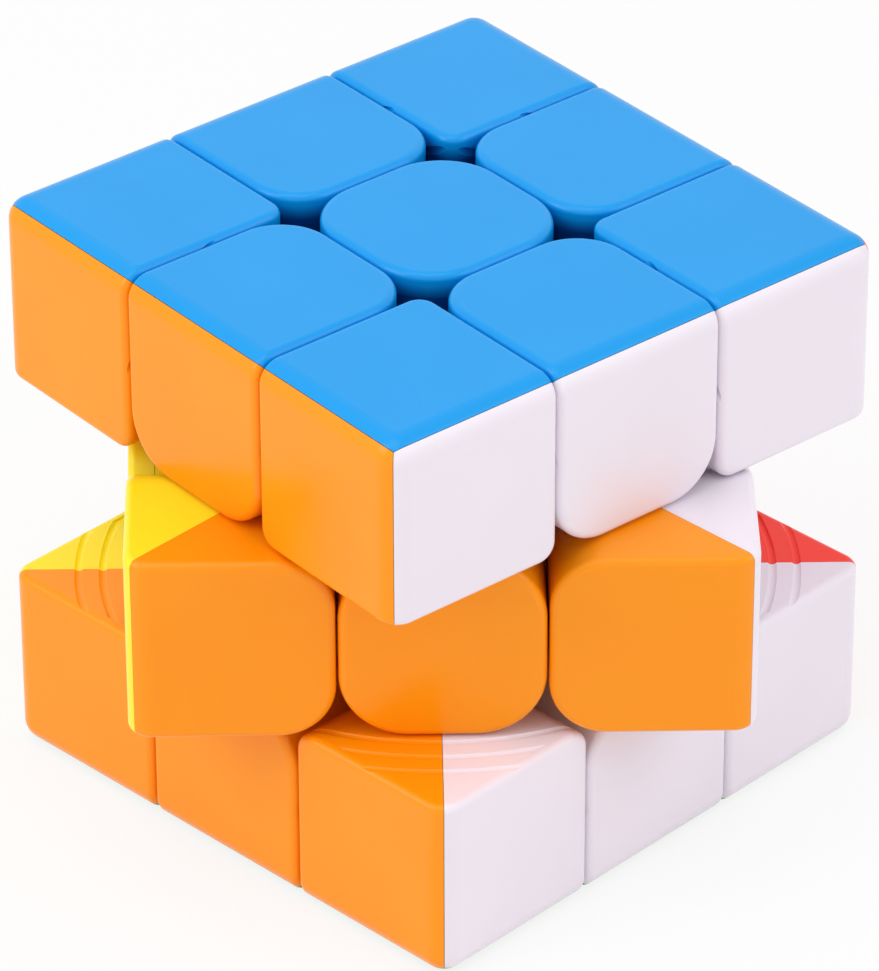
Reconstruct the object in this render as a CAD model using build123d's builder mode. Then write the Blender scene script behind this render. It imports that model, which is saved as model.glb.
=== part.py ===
from build123d import *
import os

# A three-layer twisty puzzle cube of coloured plastic. The origin is the centre of the core, where
# the six turning axes meet. +Z is up, -Y is the front. At rest the bottom layer is square to the
# axes, and the middle and top layers stand part-way through a turn.

# ---- Driving dimensions, in millimetres and degrees ----
side = 56.0               # edge length of the cube
layer_gap = 0.17          # gap between one cubie and the next
middle_turn = 45.15       # how far the middle layer is turned about Z
top_turn = -6.28          # how far the top layer is turned about Z

edge_round = 2.2          # rounding where two coloured faces meet
rim_round = 0.74          # rounding all round each tile
corner_tile_round = 1.9   # inner corner of a corner tile
edge_tile_round = 5.25    # the two inner corners of an edge tile
centre_tile_round = 6.3   # all four corners of a centre tile
wall = 1.6                # wall of the hollow cubies
seam_gap = 0.05           # gap between two coloured shells of one cubie

groove_count = 7          # concentric grooves on each hidden face of a corner
groove_pitch = 2.25       # from one groove to the next
groove_margin = 4.2       # outermost groove, in from the cube's corner
groove_radius = 0.5       # radius of the round cutter that forms a groove
groove_depth = 0.2        # depth of a groove
groove_end = 0.9          # where the grooves stop, in from the coloured face

neck_depth = 3.8          # from a corner cubie's inner tip out to the feet's outer sphere
foot_thickness = 5.9      # thickness of the feet, along a radius
foot_hook = 3.3           # how far a foot reaches under its neighbour
run_clearance = 0.1       # half of the running gap round the feet

cap_thickness = 2.4       # lid of a centre
cap_gap = 0.05            # gap between the lid and the centre's body
cap_skirt_depth = 2.0     # depth of the skirt that plugs the lid into the body
cap_skirt_wall = 1.1      # wall of that skirt
pocket_wall = 1.5         # wall of the tube that holds the spring
pocket_floor = 2.6        # floor of the tube, which the spring presses on

core_ball_radius = 6.5    # ball in the middle of the core
arm_radius = 3.4          # six arms of the core
arm_gap = 2.7             # end of an arm to the inside of the feet
stem_gap = 0.15           # end of an arm to the bottom of a centre

shank_radius = 1.2        # screw shank
shank_clearance = 0.4     # round the shank where it passes through a centre
thread_clearance = 0.03   # round the shank in its arm
thread_length = 6.0       # length of shank held in an arm
head_height = 1.5         # screw head
head_ledge = 1.0          # how far the washer stands out beyond the head
head_round = 0.5          # rounding on top of the head
slot_width = 0.7          # cross recess in the head
slot_depth = 0.9          # depth of that recess
slot_reach = 1.3          # length of that recess, for a head of radius 1
washer_thickness = 0.4    # washer under the head
washer_clearance = 0.5    # washer to the wall of the pocket
spring_height = 4.8       # spring as fitted, between the pocket's floor and the washer
spring_turns = 4.5        # coils in the spring
wire_radius = 0.3         # spring wire
spring_seat = 0.08        # gap at each end of the spring

# ---- Sizes that follow ----
half_side = side / 2
half_cubie = side / 6
cut_face = half_cubie + layer_gap / 2
half_width = half_cubie - layer_gap / 2
foot_outer = half_cubie * 3 ** 0.5 + neck_depth
foot_inner = foot_outer - foot_thickness
foot_line = half_cubie - foot_hook
neck_radius = foot_line - run_clearance
pocket_radius = neck_radius - pocket_wall
arm_end = foot_inner - arm_gap
stem_bottom = arm_end + stem_gap
pocket_bottom = stem_bottom + pocket_floor
washer_bottom = pocket_bottom + spring_height
washer_radius = pocket_radius - washer_clearance
head_bottom = washer_bottom + washer_thickness
head_radius = washer_radius - head_ledge
cap_bottom = half_side - cap_thickness
cap_seat = cap_bottom - cap_gap
outer_groove = half_side * 2 ** 0.5 - groove_margin
head_top = head_bottom + head_height
slot_length = slot_reach * head_radius
touch = 0.001             # tolerance when choosing edges by place


def at(value, level):
    """True where a coordinate lies on a level."""
    return abs(value - level) < touch


def corner_rim(edge, low, high):
    """True for an edge of the rim that runs round the coloured side of a corner block."""
    places = sorted(edge.center())
    on_tile = at(places[2], high) and places[0] < low + corner_tile_round
    on_end = at(places[0], low) and places[1] > high - edge_round
    return on_tile or on_end


def edge_rim(edge, low, high, width):
    """True for an edge of the rim that runs round the coloured side of an edge block."""
    place = edge.center()
    on_tile = at(place.Z, high) and (abs(place.Y) > touch or at(place.X, low))
    on_side = at(place.X, high) and at(abs(place.Y), width)
    on_end = at(abs(place.Y), width) and min(place.X, place.Z) > high - edge_round
    return on_tile or on_side or on_end


def edge_runs(block):
    """A block's straight edges along X, Y and Z, each list from the nearest to the core outward."""
    return [block.edges().filter_by(axis).sort_by_distance((0, 0, 0)) for axis in (Axis.X, Axis.Y, Axis.Z)]


# ---- Blocks that the cubies are cut from, each at home where all its coordinates are positive ----
def corner_block():
    """Outside of a corner cubie: three coloured faces, and three hidden faces square to them."""
    size = half_side - cut_face
    middle = (half_side + cut_face) / 2
    with BuildPart() as block:
        with BuildSketch(Plane.XY.offset(cut_face)):
            with Locations((middle, middle)):
                Rectangle(size, size)
        extrude(amount=size)
        fillet([run[-1] for run in edge_runs(block)], edge_round)
        fillet([run[0] for run in edge_runs(block)], corner_tile_round)
        rim = block.edges().filter_by(lambda edge: corner_rim(edge, cut_face, half_side))
        fillet(rim, rim_round)
    return block.part


def edge_block(inset):
    """Edge cubie between the +X and +Z faces, drawn in by inset, with the +Z tile's outline.

    The outline runs all the way down. Only the part on the +Z side of the mitre is kept, and there
    it is the whole shape.
    """
    low = cut_face + inset
    high = half_side - inset
    width = half_width - inset
    with BuildPart() as block:
        with BuildSketch(Plane.XY.offset(low)) as outline:
            with Locations(((low + high) / 2, 0)):
                Rectangle(high - low, 2 * width)
            fillet(outline.vertices().group_by(Axis.X)[0], edge_tile_round - inset)
        extrude(amount=high - low)
        if inset == 0:
            fillet(block.edges().filter_by(Axis.Y).sort_by_distance((0, 0, 0))[-1], edge_round)
            rim = block.edges().filter_by(lambda edge: edge_rim(edge, low, high, width))
            fillet(rim, rim_round)
    return block.part


def centre_prism(inset, bottom, top):
    """Rounded square of a centre tile, drawn in by inset, from one height to another."""
    with BuildPart() as prism:
        with BuildSketch(Plane.XY.offset(bottom)):
            RectangleRounded(2 * (half_width - inset), 2 * (half_width - inset), centre_tile_round - inset)
        extrude(amount=top - bottom)
    return prism.part


def mitre(along):
    """Plane between the +Z face and the face it meets along one direction, facing the +Z side."""
    normal = Vector(-along[0], -along[1], 1).normalized()
    return Plane(origin=normal * seam_gap / 2, z_dir=normal)


# ---- Corner shell: one of the three coloured mouldings that make a corner ----
# Its third of the corner's hidden foot hooks under the neighbouring edges.
with BuildPart() as corner_foot:
    with BuildSketch(Plane.XY.offset(foot_line + run_clearance)):
        with Locations((foot_line + run_clearance, foot_line + run_clearance)):
            Rectangle(foot_outer, foot_outer, align=(Align.MIN, Align.MIN))
    extrude(amount=foot_outer)
    Sphere(foot_outer - run_clearance, mode=Mode.INTERSECT)
    Sphere(foot_inner + run_clearance, mode=Mode.SUBTRACT)

with BuildPart() as corner_grooves:
    cutter_middle = cut_face + groove_depth - groove_radius
    groove_radii = [outer_groove - groove_pitch * step for step in range(groove_count)]
    with BuildSketch(Plane.XY):
        with Locations([(cutter_middle, radius) for radius in groove_radii]):
            Circle(groove_radius)
    revolve(axis=Axis.X)
    with BuildSketch(Plane.XY):
        with Locations([(radius, cutter_middle) for radius in groove_radii]):
            Circle(groove_radius)
    revolve(axis=Axis.Y)
    split(bisect_by=Plane.XY.offset(half_side - groove_end), keep=Keep.BOTTOM)

with BuildPart() as corner_shell:
    add(corner_block())
    hollow = half_side - cut_face - 2 * wall
    with BuildSketch(Plane.XY.offset(cut_face + wall)):
        with Locations((cut_face + wall, cut_face + wall)):
            Rectangle(hollow, hollow, align=(Align.MIN, Align.MIN))
    extrude(amount=hollow, mode=Mode.SUBTRACT)
    add(corner_foot)
    split(bisect_by=mitre((1, 0)), keep=Keep.TOP)
    split(bisect_by=mitre((0, 1)), keep=Keep.TOP)
    add(corner_grooves, mode=Mode.SUBTRACT)

# ---- Edge half: one of the two coloured mouldings that make an edge ----
# The foot hooks under the centres, and the overhang on each side covers the corners' feet.
with BuildPart() as edge_foot:
    with BuildSketch(Plane.XY.offset(foot_line + run_clearance)):
        with Locations((foot_line + run_clearance, 0)):
            Rectangle(foot_outer, 2 * neck_radius, align=(Align.MIN, Align.CENTER))
    extrude(amount=foot_outer)
    Sphere(foot_outer - run_clearance, mode=Mode.INTERSECT)
    Sphere(foot_inner + run_clearance, mode=Mode.SUBTRACT)

with BuildPart() as edge_neck:
    with BuildSketch(Plane.XY.offset(cut_face)):
        with Locations((cut_face, 0)):
            Rectangle(foot_outer, 2 * neck_radius, align=(Align.MIN, Align.CENTER))
    extrude(amount=foot_outer)
    Sphere(foot_outer + run_clearance + wall, mode=Mode.INTERSECT)
    Sphere(foot_inner + run_clearance, mode=Mode.SUBTRACT)

with BuildPart() as edge_hollow:
    add(edge_block(wall))
    Sphere(foot_outer + run_clearance + wall, mode=Mode.SUBTRACT)

with BuildPart() as edge_half:
    add(edge_block(0))
    Sphere(foot_outer + run_clearance, mode=Mode.SUBTRACT)
    add(edge_hollow, mode=Mode.SUBTRACT)
    add(edge_neck)
    add(edge_foot)
    split(bisect_by=mitre((1, 0)), keep=Keep.TOP)

# ---- Centre body: the moulding that turns on the screw, with a tube for the spring ----
with BuildPart() as centre_hollow:
    add(centre_prism(wall, stem_bottom, cap_seat))
    Sphere(foot_outer + run_clearance + wall, mode=Mode.SUBTRACT)

with BuildPart() as centre_body:
    add(centre_prism(0, stem_bottom, cap_seat))
    Sphere(foot_outer + run_clearance, mode=Mode.SUBTRACT)
    add(centre_hollow, mode=Mode.SUBTRACT)
    with BuildSketch(Plane.XY.offset(stem_bottom)):
        Circle(neck_radius)
    extrude(amount=cap_seat - cap_skirt_depth - stem_bottom)
    with BuildSketch(Plane.XY.offset(pocket_bottom)):
        Circle(pocket_radius)
    extrude(amount=cap_seat - pocket_bottom, mode=Mode.SUBTRACT)
    with BuildSketch(Plane.XY.offset(stem_bottom)):
        Circle(shank_radius + shank_clearance)
    extrude(amount=pocket_floor, mode=Mode.SUBTRACT)

# ---- Centre cap: the lid that covers the screw, held by a skirt pushed into the body ----
with BuildPart() as centre_cap:
    add(centre_prism(0, cap_bottom, half_side))
    fillet(centre_cap.faces().sort_by(Axis.Z)[-1].edges(), rim_round)
    add(centre_prism(wall + cap_gap, cap_seat - cap_skirt_depth + cap_gap, cap_bottom))
    skirt_inset = wall + cap_gap + cap_skirt_wall
    add(centre_prism(skirt_inset, cap_seat - cap_skirt_depth + cap_gap, cap_bottom), mode=Mode.SUBTRACT)

# ---- Core arm, screw, washer and spring, each made under the top centre ----
with BuildPart() as core_arm:
    Cylinder(arm_radius, arm_end, align=(Align.CENTER, Align.CENTER, Align.MIN))

with BuildPart() as screw_bore:
    with BuildSketch(Plane.XY.offset(arm_end - thread_length)):
        Circle(shank_radius + thread_clearance)
    extrude(amount=thread_length)

with BuildPart() as screw:
    with BuildSketch(Plane.XY.offset(arm_end - thread_length + thread_clearance)):
        Circle(shank_radius)
    extrude(amount=head_bottom - arm_end + thread_length - thread_clearance)
    with BuildSketch(Plane.XY.offset(head_bottom)):
        Circle(head_radius)
    extrude(amount=head_height)
    fillet(screw.faces().sort_by(Axis.Z)[-1].edges(), head_round)
    with BuildSketch(Plane.XY.offset(head_top - slot_depth)):
        Rectangle(slot_length, slot_width)
        Rectangle(slot_width, slot_length)
    extrude(amount=slot_depth, mode=Mode.SUBTRACT)

with BuildPart() as washer:
    with BuildSketch(Plane.XY.offset(washer_bottom)):
        Circle(washer_radius)
        Circle(shank_radius + thread_clearance, mode=Mode.SUBTRACT)
    extrude(amount=washer_thickness - thread_clearance)

coil_radius = washer_radius - wire_radius
coil_height = spring_height - 2 * spring_seat - 2 * wire_radius
with BuildPart() as spring:
    with BuildLine(Plane.XY.offset(pocket_bottom + spring_seat + wire_radius)) as coil:
        Helix(coil_height / spring_turns, coil_height, coil_radius)
    with BuildSketch(Plane(origin=coil.line @ 0, z_dir=coil.line % 0)):
        Circle(wire_radius)
    sweep(path=coil.line)

# ---- Places: the cube's six faces, and the turn of each layer ----
faces = {
    "top": ("blue", Rotation(0, 0, 0)),
    "front": ("orange", Rotation(90, 0, 0)),
    "right": ("white", Rotation(0, 90, 0)),
    "back": ("red", Rotation(-90, 0, 0)),
    "left": ("yellow", Rotation(0, -90, 0)),
    "bottom": ("green", Rotation(180, 0, 0)),
}
layer_turns = {
    1: Rotation(0, 0, top_turn),
    0: Rotation(0, 0, middle_turn),
    -1: Rotation(0, 0, 0),
}
side_names = [
    {1: "top", -1: "bottom"},
    {-1: "front", 1: "back"},
    {1: "right", -1: "left"},
]


def seat(face_turn, quarter, toward):
    """Where a piece made under the +Z face goes, and the name of the cubie that it belongs to."""
    place = face_turn * Rotation(0, 0, 90 * quarter)
    spot = (place * Pos(*toward)).position
    steps = [round(spot.Z), round(spot.Y), round(spot.X)]
    words = [names[step] for names, step in zip(side_names, steps) if step]
    return layer_turns[steps[0]] * place, "_".join(words)


os.makedirs("parts", exist_ok=True)


def keep(piece, name):
    """Label a finished piece and write it."""
    piece.part.label = name
    export_step(piece.part, f"parts/{name}.step")


# ---- Corners and edges: top and bottom tiles are one set each, other shells are by themselves ----
for kind, master, toward in (("corner", corner_shell, (1, 1, 1)), ("edge", edge_half, (1, 0, 1))):
    for face, (colour, face_turn) in faces.items():
        seats = [seat(face_turn, quarter, toward) for quarter in range(4)]
        if face in ("top", "bottom"):
            with BuildPart() as tiles:
                for place, cubie in seats:
                    add(master.part.moved(place))
            keep(tiles, f"{kind}s_{face}_{colour}")
        else:
            for place, cubie in seats:
                with BuildPart() as shell:
                    add(master.part.moved(place))
                keep(shell, f"{kind}_{cubie}_{colour}")

# ---- Centres: body, cap and spring on each face ----
for face, (colour, face_turn) in faces.items():
    place, cubie = seat(face_turn, 0, (0, 0, 1))
    for item, master in (("body", centre_body), ("cap", centre_cap), ("spring", spring)):
        with BuildPart() as centre_piece:
            add(master.part.moved(place))
        keep(centre_piece, f"centre_{face}_{item}")

# ---- Core, with its screws and washers, which all turn with the middle layer ----
arm_places = [layer_turns[0] * face_turn for colour, face_turn in faces.values()]

with BuildPart() as core:
    Sphere(core_ball_radius)
    for place in arm_places:
        add(core_arm.part.moved(place))
    for place in arm_places:
        add(screw_bore.part.moved(place), mode=Mode.SUBTRACT)
keep(core, "core")

for name, master in (("screws", screw), ("washers", washer)):
    with BuildPart() as set_of_six:
        for place in arm_places:
            add(master.part.moved(place))
    keep(set_of_six, name)
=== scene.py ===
from math import cos, radians, sin

import bmesh
import bpy
from mathutils import Matrix, Vector


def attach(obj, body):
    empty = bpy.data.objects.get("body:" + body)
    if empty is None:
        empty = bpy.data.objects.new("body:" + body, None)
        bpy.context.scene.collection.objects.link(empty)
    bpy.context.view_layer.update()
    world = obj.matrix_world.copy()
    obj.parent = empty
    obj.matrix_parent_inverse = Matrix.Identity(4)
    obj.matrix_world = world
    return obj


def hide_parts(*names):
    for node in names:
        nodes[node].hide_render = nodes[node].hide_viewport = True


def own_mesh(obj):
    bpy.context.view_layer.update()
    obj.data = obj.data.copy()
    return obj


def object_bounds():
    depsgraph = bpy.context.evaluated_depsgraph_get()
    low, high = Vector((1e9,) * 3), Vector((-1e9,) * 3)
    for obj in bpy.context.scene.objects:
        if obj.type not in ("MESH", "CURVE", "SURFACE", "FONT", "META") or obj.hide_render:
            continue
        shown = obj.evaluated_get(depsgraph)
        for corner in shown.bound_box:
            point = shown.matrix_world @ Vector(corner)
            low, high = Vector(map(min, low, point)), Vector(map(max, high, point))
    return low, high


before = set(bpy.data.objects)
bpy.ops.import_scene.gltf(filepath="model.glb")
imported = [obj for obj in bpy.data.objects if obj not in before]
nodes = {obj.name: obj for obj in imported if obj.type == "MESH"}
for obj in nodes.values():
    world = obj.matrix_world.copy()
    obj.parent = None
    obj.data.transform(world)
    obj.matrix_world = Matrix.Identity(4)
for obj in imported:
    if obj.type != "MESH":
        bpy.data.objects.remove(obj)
cad_low, cad_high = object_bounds()

# ---- Camera ----
# A long lens, far back, looks down on the cube's front vertical edge, with a hair of roll. It aims
# a little beside and below the core's centre.
camera_azimuth = radians(44.28)
camera_elevation = radians(32.58)
camera_distance = 0.6124
camera_roll = radians(-0.17)
aim_right = 0.00018
aim_up = -0.00053
lens_length = 247.84
film_width = 36
far_limit = 10

towards_camera = Vector((
    sin(camera_azimuth) * cos(camera_elevation),
    -cos(camera_azimuth) * cos(camera_elevation),
    sin(camera_elevation),
))
camera_turn = towards_camera.to_track_quat("Z", "Y").to_matrix()
aim = camera_turn @ Vector((aim_right, aim_up, 0))
lens = bpy.data.cameras.new("camera")
lens.sensor_width = film_width
lens.lens = lens_length
lens.clip_end = far_limit
camera = bpy.data.objects.new("camera", lens)
camera.matrix_world = (
    Matrix.Translation(aim + towards_camera * camera_distance)
    @ (camera_turn @ Matrix.Rotation(camera_roll, 3, "Z")).to_4x4()
)
bpy.context.scene.collection.objects.link(camera)
bpy.context.scene.camera = camera
bpy.context.scene.view_settings.view_transform = "Standard"


# ---- Studio: pale floor, white surround and soft lamps ----
# The floor is a wide pale sheet that keeps the cube's soft shadow. The surround is white where the
# camera or a reflection sees it, and a plain grey for its light.
def opaque(colour):
    """A colour of three numbers with full alpha. A colour that is already wired stays as it is."""
    return colour if isinstance(colour, Wire) else (*colour, 1)


class Wire:
    """One output in a shader's node tree. Arithmetic adds Math nodes, and node() adds any other."""

    def __init__(self, tree, socket=None):
        self.tree = tree
        self.socket = socket

    def node(self, kind, settings=None, values=None, output=0):
        made = self.tree.nodes.new("ShaderNode" + kind)
        for name, value in (settings or {}).items():
            setattr(made, name, value)
        for name, value in (values or {}).items():
            if isinstance(value, Wire):
                self.tree.links.new(value.socket, made.inputs[name])
            else:
                made.inputs[name].default_value = value
        return Wire(self.tree, made.outputs[output])

    def math(self, operation, first, second):
        return self.node("Math", {"operation": operation}, {0: first, 1: second})

    def __add__(self, other):
        return self.math("ADD", self, other)

    def __radd__(self, other):
        return self.math("ADD", other, self)

    def __rsub__(self, other):
        return self.math("SUBTRACT", other, self)

    def __mul__(self, other):
        return self.math("MULTIPLY", self, other)

    def __rmul__(self, other):
        return self.math("MULTIPLY", other, self)

    def blend(self, dark, light):
        """Colour from the first to the second as this value goes from 0 to 1."""
        return self.node(
            "Mix",
            {"data_type": "RGBA", "clamp_factor": True},
            {"Factor": self, 6: opaque(dark), 7: opaque(light)},
            output=2,
        )

    def feed(self, shader, name):
        self.tree.links.new(self.socket, shader.inputs[name])


def seen_white(tree):
    """1 where the camera, a reflection or glass looks at it, 0 where it only gives light."""
    start = Wire(tree)
    seen = start.node("LightPath", output="Is Camera Ray")
    mirrored = start.node("LightPath", output="Is Glossy Ray")
    through = start.node("LightPath", output="Is Transmission Ray")
    return start.math("MINIMUM", seen + mirrored + through, 1)


surround_light = 0.74
world = bpy.data.worlds.new("surround")
world.use_nodes = True
bpy.context.scene.world = world
surround = world.node_tree.nodes["Background"]
surround.inputs["Color"].default_value = (1, 1, 1, 1)
lift = 1 - surround_light
(surround_light + lift * seen_white(world.node_tree)).feed(surround, "Strength")

floor_side = 4.0
floor_colour = (0.86, 0.86, 0.86)
floor_whiteness = 0.82
floor_roughness = 0.9
floor_reflection = 0.1
floor_mesh = bpy.data.meshes.new("floor")
sheet = bmesh.new()
bmesh.ops.create_grid(sheet, x_segments=1, y_segments=1, size=floor_side / 2)
sheet.to_mesh(floor_mesh)
floor = bpy.data.objects.new("floor", floor_mesh)
floor.location.z = cad_low.z
bpy.context.scene.collection.objects.link(floor)
paper = bpy.data.materials.new("floor paper")
paper.use_nodes = True
tree = paper.node_tree
paper_body = tree.nodes["Principled BSDF"]
paper_body.inputs["Base Color"].default_value = (*floor_colour, 1)
paper_body.inputs["Roughness"].default_value = floor_roughness
paper_body.inputs["Specular IOR Level"].default_value = floor_reflection
glow = Wire(tree).node("Emission", values={"Color": (1, 1, 1, 1), "Strength": 1.0})
shown = Wire(tree).node(
    "MixShader",
    values={0: seen_white(tree) * floor_whiteness, 1: Wire(tree, paper_body.outputs[0]), 2: glow},
)
tree.links.new(shown.socket, tree.nodes["Material Output"].inputs["Surface"])
floor_mesh.materials.append(paper)


soft_box_width = 0.5


def soft_lamp(name, azimuth, elevation, distance, power):
    """Square soft box that faces the cube."""
    lamp = bpy.data.lights.new(name, "AREA")
    lamp.shape = "SQUARE"
    lamp.size = soft_box_width
    lamp.energy = power
    holder = bpy.data.objects.new(name, lamp)
    away = Vector((
        sin(azimuth) * cos(elevation),
        -cos(azimuth) * cos(elevation),
        sin(elevation),
    ))
    facing = away.to_track_quat("Z", "Y").to_matrix().to_4x4()
    holder.matrix_world = Matrix.Translation(away * distance) @ facing
    bpy.context.scene.collection.objects.link(holder)


soft_lamp("top box", radians(20), radians(75), distance=0.7, power=0.9)
soft_lamp("left box", radians(-25), radians(35), distance=0.8, power=1.9)
soft_lamp("right box", radians(115), radians(35), distance=0.8, power=1.2)

# ---- Core ----
# A black ball with six arms, moulded in glass-filled plastic. It sits in the middle of the cube,
# and the six screws hold the centres to its arms.
fine_relief = 0.00003
core_fleck_scale = 1800
core_dull = 0.5
core_dull_spread = 0.2
core_relief = 0.3
black = (0.012, 0.012, 0.014)
fibre_grey = (0.045, 0.045, 0.05)


def dress(words, finish):
    """Give a finish to every piece whose name has one of these words in it."""
    for name, piece in nodes.items():
        if any(word in name for word in words):
            piece.data.materials.clear()
            piece.data.materials.append(finish)


def start_material(name):
    """New material, its shader, and the place of a point on the piece."""
    material = bpy.data.materials.new(name)
    material.use_nodes = True
    start = Wire(material.node_tree)
    skin = material.node_tree.nodes["Principled BSDF"]
    return material, skin, start.node("TexCoord", output="Object")


def cloudy(place, scale, detail):
    """Soft noise from 0 to 1."""
    return place.node("TexNoise", values={"Vector": place, "Scale": scale, "Detail": detail})


def relief(place, height, strength, skin):
    """Raise and sink a skin by a height from 0 to 1."""
    values = {"Strength": strength, "Distance": fine_relief, "Height": height}
    place.node("Bump", values=values).feed(skin, "Normal")


core_finish, skin, place = start_material("glass-filled black plastic")
fleck = cloudy(place, core_fleck_scale, 4.0)
fleck.blend(black, fibre_grey).feed(skin, "Base Color")
(core_dull + core_dull_spread * fleck).feed(skin, "Roughness")
relief(place, fleck, core_relief, skin)
dress(["core"], core_finish)

# ---- Screws and washers ----
# Six zinc-plated steel screws pass through the centres into the core's arms. Each has a plain
# washer under its head, which the spring pushes against.
plate_cloud_scale = 700
plate_dull_spread = 0.16
plate_relief = 0.15


def steel(name, dark, light, roughness):
    """Metal with cloudy plating, duller where it is paler."""
    material, skin, place = start_material(name)
    skin.inputs["Metallic"].default_value = 1.0
    cloud = cloudy(place, plate_cloud_scale, 4.0)
    cloud.blend(dark, light).feed(skin, "Base Color")
    (roughness - plate_dull_spread / 2 + plate_dull_spread * cloud).feed(skin, "Roughness")
    relief(place, cloud, plate_relief, skin)
    return material


zinc_plate = steel("zinc plate", (0.50, 0.50, 0.52), (0.68, 0.68, 0.66), roughness=0.34)
dress(["screws", "washers"], zinc_plate)

# ---- Springs ----
# A coil of drawn steel wire round each screw, between the washer and the floor of the centre's
# tube.
wire_steel = steel("drawn wire", (0.36, 0.36, 0.38), (0.55, 0.55, 0.56), roughness=0.28)
faces = {
    "top": Vector((0, 0, 1)),
    "front": Vector((0, -1, 0)),
    "right": Vector((1, 0, 0)),
    "back": Vector((0, 1, 0)),
    "left": Vector((-1, 0, 0)),
    "bottom": Vector((0, 0, -1)),
}
dress(["_spring"], wire_steel)
for face in faces:
    wound = nodes[f"centre_{face}_spring"]
    coil = bpy.data.objects.new(f"{face}_spring_coil", wound.data.copy())
    bpy.context.scene.collection.objects.link(coil)
    points = [vertex.co for vertex in coil.data.vertices]
    middle = sum(points, Vector()) / len(points)
    outward = middle.normalized()
    reach = [point.dot(outward) for point in points]
    height = max(reach) - min(reach)
    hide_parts(wound.name)
    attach(coil, "middle_layer")
    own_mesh(coil)

# ---- Centres ----
# One moulding and one cap on each face, in the face's colour right through, with a satin-gloss
# skin. The moulding turns on its screw, and the cap is pushed into it over the screw's head.
flow_scale = 70
smear_scale = 160
ripple_scale = 900
ripple_relief = 0.03
skin_roughness = 0.24
smear_dull_spread = 0.10
smear_coat = 0.05
coat_roughness = 0.12
skin_reflection = 0.27
# Painted shade: below this height the blue is blended to a dark navy, which stands in for the shade
# down in the gaps between tiles.
painted_shade_top = 0.0269
painted_shade_fade = 0.0014
painted_gap_shades = {"blue": (0.0, 0.06, 0.28)}
plastic_shades = {
    "blue": ((0.001, 0.302, 0.745), (0.004, 0.330, 0.81)),
    "orange": ((0.99, 0.285, 0.001), (1.0, 0.330, 0.004)),
    "white": ((0.83, 0.765, 0.845), (0.88, 0.81, 0.89)),
    "red": ((0.98, 0.032, 0.018), (1.0, 0.045, 0.026)),
    "yellow": ((0.96, 0.775, 0.014), (0.99, 0.825, 0.026)),
    "green": ((0.010, 0.40, 0.055), (0.016, 0.45, 0.075)),
}


def moulded_plastic(colour, deep, light):
    """Satin-gloss plastic whose tone drifts where it flowed, with painted shade making it dark down
    in the gaps.
    """
    material, skin, place = start_material(f"{colour} plastic")
    skin.inputs["Specular IOR Level"].default_value = skin_reflection
    skin.inputs["Coat Roughness"].default_value = coat_roughness
    flow_tone_and_painted_shade = cloudy(place, flow_scale, 2.0).blend(deep, light)
    # Painted shade in the gaps: under the rim the colour blends towards dark navy as the height
    # drops.
    if colour in painted_gap_shades:
        level = place.node("SeparateXYZ", values={"Vector": place}, output=2)
        painted_shade_mask = (painted_shade_top - level) * (1 / painted_shade_fade)
        flow_tone_and_painted_shade = painted_shade_mask.blend(flow_tone_and_painted_shade, painted_gap_shades[colour])
    flow_tone_and_painted_shade.feed(skin, "Base Color")
    smear = cloudy(place, smear_scale, 2.0)
    (skin_roughness - smear_dull_spread / 2 + smear_dull_spread * smear).feed(skin, "Roughness")
    (smear_coat * smear).feed(skin, "Coat Weight")
    relief(place, cloudy(place, ripple_scale, 0.0), ripple_relief, skin)
    return material


plastics = {colour: moulded_plastic(colour, *pair) for colour, pair in plastic_shades.items()}
face_colours = dict(zip(faces, plastic_shades))
for face, colour in face_colours.items():
    dress([f"centre_{face}_body", f"centre_{face}_cap"], plastics[colour])

# ---- Edges and corners ----
# Two coloured shells to an edge and three to a corner, joined on mitred seams. Their feet hook
# under the centres and under one another, and nothing else holds them.
for face, colour in face_colours.items():
    shells = [name for name in nodes if name.startswith(("edge", "corner"))]
    dress([name for name in shells if name.endswith("_" + colour)], plastics[colour])
